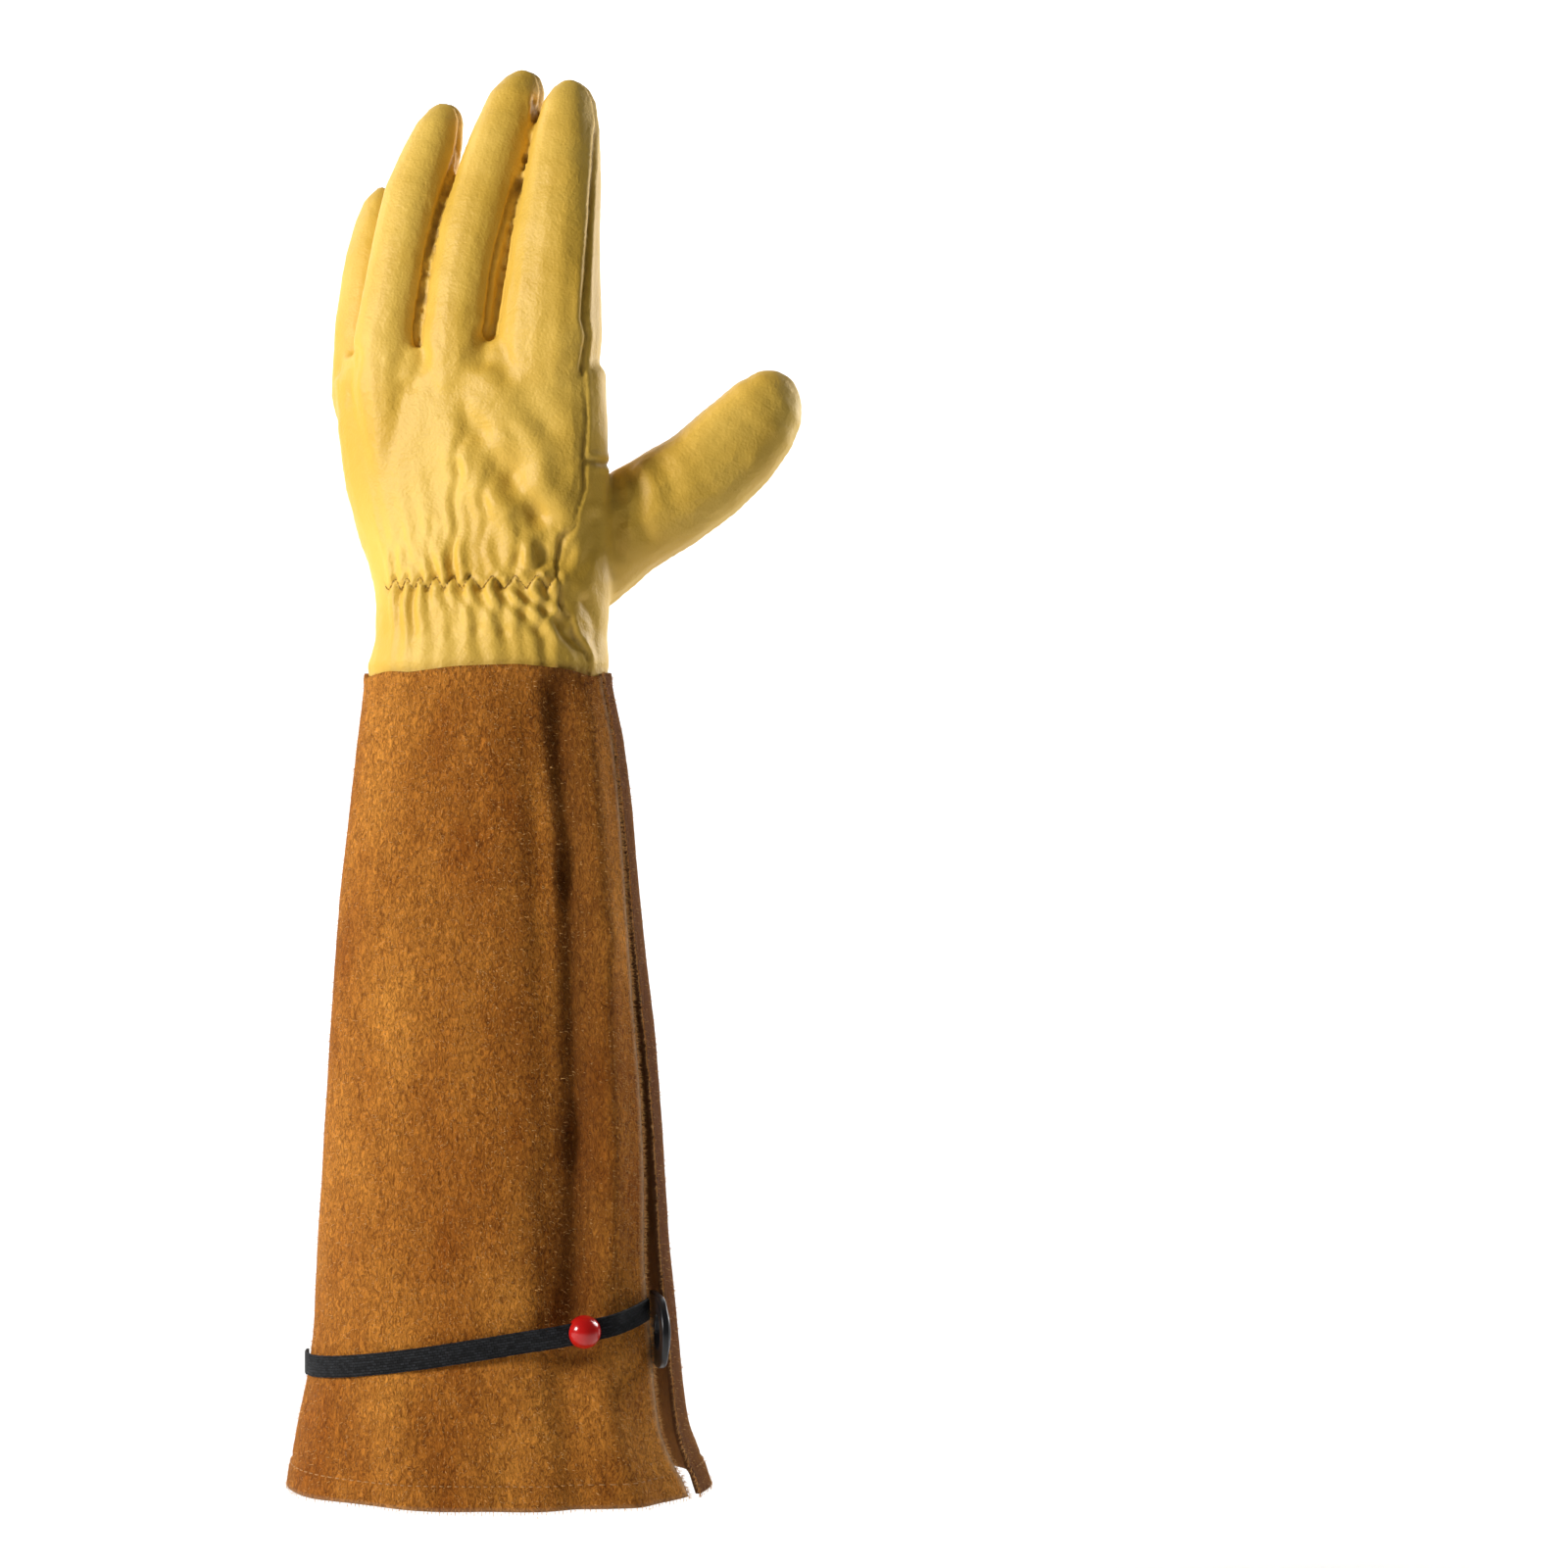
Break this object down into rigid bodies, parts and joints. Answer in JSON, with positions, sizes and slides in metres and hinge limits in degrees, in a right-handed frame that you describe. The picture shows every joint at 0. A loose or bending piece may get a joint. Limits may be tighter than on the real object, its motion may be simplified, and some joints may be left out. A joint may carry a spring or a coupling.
{
  "type": "gauntlet glove",
  "caption": "Left-hand rose pruning gauntlet with a yellow leather hand and a long flared suede cuff, slit on the thumb side, with a beaded strap and a tab.",
  "frame": {"origin": "middle of the cuff's mouth, where the arm goes in", "axes": "+Z from the cuff's mouth to the fingertips, +X to the thumb, -Y out of the back of the hand"},
  "size_m": [0.1886, 0.1087, 0.5214],
  "materials": {
    "grain_leather": "smooth grain, half gloss",
    "suede": "brushed suede nap",
    "webbing": "woven",
    "bead_plastic": "gloss",
    "tab_plastic": "satin"
  },
  "bodies": {
    "root": {"back_panel": "grain_leather", "palm_panel": "grain_leather", "middle_finger_front": "grain_leather", "ring_finger_front": "grain_leather", "thumb_back": "grain_leather", "fourchette_index_middle": "grain_leather", "fourchette_middle_ring": "grain_leather", "fourchette_ring_little": "grain_leather", "suede_cuff": "suede", "cuff_strap": "webbing", "strap_bead": "bead_plastic", "buckle_tab": "tab_plastic"}
  },
  "joints": []
}
